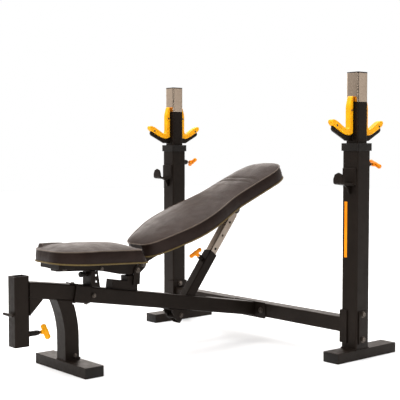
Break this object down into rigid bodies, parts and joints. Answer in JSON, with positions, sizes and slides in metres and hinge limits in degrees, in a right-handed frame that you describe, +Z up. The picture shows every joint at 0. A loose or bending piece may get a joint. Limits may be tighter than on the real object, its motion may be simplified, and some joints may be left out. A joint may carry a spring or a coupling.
{
  "type": "olympic bench press",
  "caption": "Adjustable weight bench on a sloping rail with a hinged backrest, a tilting seat and two telescopic bar uprights with padded double hooks.",
  "frame": {"origin": "on the floor, under the middle of the overall box", "axes": "+X from the foot end to the uprights, +Y to the left side, +Z up"},
  "size_m": [1.4394, 1.228, 1.128],
  "materials": {
    "frame_paint": "satin powder coat, warm black",
    "chrome": "polished chrome plate",
    "amber_liner": "moulded amber urethane",
    "amber_handle": "moulded amber handle on a steel pin",
    "black_plastic": "fine-grained black plastic",
    "upholstery": "dark brown-black vinyl with olive piping",
    "board": "plywood",
    "fastener": "zinc-plated bolts"
  },
  "bodies": {
    "stand": {"main_rail": "frame_paint", "joint_socket": "frame_paint", "rail_rear_bracket": "frame_paint", "front_foot": "frame_paint", "front_leg": "frame_paint", "leg_foot_bracket": "frame_paint", "front_arm": "frame_paint", "receiver_tube": "frame_paint", "accessory_hook": "frame_paint", "crossbar": "frame_paint", "seat_guide": "frame_paint", "rear_post": "frame_paint", "hinge_bracket": "frame_paint", "strut_bracket": "frame_paint", "left_foot": "frame_paint", "left_upright": "frame_paint", "left_crossbar_bracket": "frame_paint", "left_backing_plate": "frame_paint", "left_safety_catch": "frame_paint", "left_collar": "black_plastic", "left_pin_housing": "black_plastic", "right_foot": "frame_paint", "right_upright": "frame_paint", "right_crossbar_bracket": "frame_paint", "right_backing_plate": "frame_paint", "right_safety_catch": "frame_paint", "right_collar": "black_plastic", "right_pin_housing": "black_plastic", "receiver_pin_housing": "black_plastic", "seat_hinge_bolt": "fastener", "back_hinge_bolt": "fastener", "strut_pivot_bolt": "fastener"},
    "left_slider": {"left_post": "frame_paint", "left_post_head": "chrome", "left_post_cap": "black_plastic", "left_front_hook": "frame_paint", "left_rear_hook": "frame_paint", "left_front_liner": "amber_liner", "left_rear_liner": "amber_liner"},
    "right_slider": {"right_post": "frame_paint", "right_post_head": "chrome", "right_post_cap": "black_plastic", "right_front_hook": "frame_paint", "right_rear_hook": "frame_paint", "right_front_liner": "amber_liner", "right_rear_liner": "amber_liner"},
    "left_lock": {"left_post_pin": "amber_handle"},
    "right_lock": {"right_post_pin": "amber_handle"},
    "receiver_lock": {"receiver_pin": "amber_handle"},
    "seat_lock": {"seat_pin": "black_plastic"},
    "seat": {"seat_carrier": "frame_paint", "seat_board": "board", "seat_pad": "upholstery"},
    "backrest": {"back_frame": "frame_paint", "back_board": "board", "back_pad": "upholstery", "strut_top_bolt": "fastener"},
    "strut_upper": {"strut_inner": "chrome"},
    "strut_lower": {"strut_outer": "frame_paint"},
    "strut_lock": {"strut_pin": "amber_handle"}
  },
  "joints": [
    {"name": "left_post_height", "type": "slide", "parent": "stand", "child": "left_slider", "axis": [0, 0, 1], "range_m": [0, 0.25]},
    {"name": "right_post_height", "type": "slide", "parent": "stand", "child": "right_slider", "axis": [0, 0, 1], "range_m": [0, 0.25]},
    {"name": "left_post_pin_pull", "type": "slide", "parent": "stand", "child": "left_lock", "axis": [1, 0, 0], "range_m": [0, 0.014], "stiffness_N_per_m": 600, "springref_m": -0.004},
    {"name": "right_post_pin_pull", "type": "slide", "parent": "stand", "child": "right_lock", "axis": [1, 0, 0], "range_m": [0, 0.014], "stiffness_N_per_m": 600, "springref_m": -0.004},
    {"name": "receiver_pin_pull", "type": "slide", "parent": "stand", "child": "receiver_lock", "axis": [1, 0, 0], "range_m": [0, 0.014], "stiffness_N_per_m": 600, "springref_m": -0.004},
    {"name": "seat_pin_pull", "type": "slide", "parent": "stand", "child": "seat_lock", "axis": [-1, 0, 0], "range_m": [0, 0.01], "stiffness_N_per_m": 600, "springref_m": -0.004},
    {"name": "seat_tilt", "type": "hinge", "parent": "stand", "child": "seat", "pos_m": [-0.15825, 0, 0.352], "axis": [0, 1, 0], "range_deg": [0, 7]},
    {"name": "backrest_angle", "type": "hinge", "parent": "stand", "child": "backrest", "pos_m": [-0.13125, 0, 0.373], "axis": [0, -1, 0], "range_deg": [-23, 27]},
    {"name": "strut_top_pivot", "type": "hinge", "parent": "backrest", "child": "strut_upper", "pos_m": [0.37945, 0, 0.566], "axis": [0, -1, 0], "range_deg": [-3.7, 3.2]},
    {"name": "strut_extension", "type": "slide", "parent": "strut_upper", "child": "strut_lower", "axis": [-0.606, 0, -0.7954], "range_m": [-0.116, 0.136]},
    {"name": "strut_pin_pull", "type": "slide", "parent": "strut_lower", "child": "strut_lock", "axis": [-0.7954, 0, 0.606], "range_m": [0, 0.012], "stiffness_N_per_m": 600, "springref_m": -0.004}
  ],
  "couplings": [
    {"joint": "strut_top_pivot", "follows": "backrest_angle", "ratio": -0.135},
    {"joint": "strut_extension", "follows": "backrest_angle", "m_per_rad": 0.2865}
  ]
}
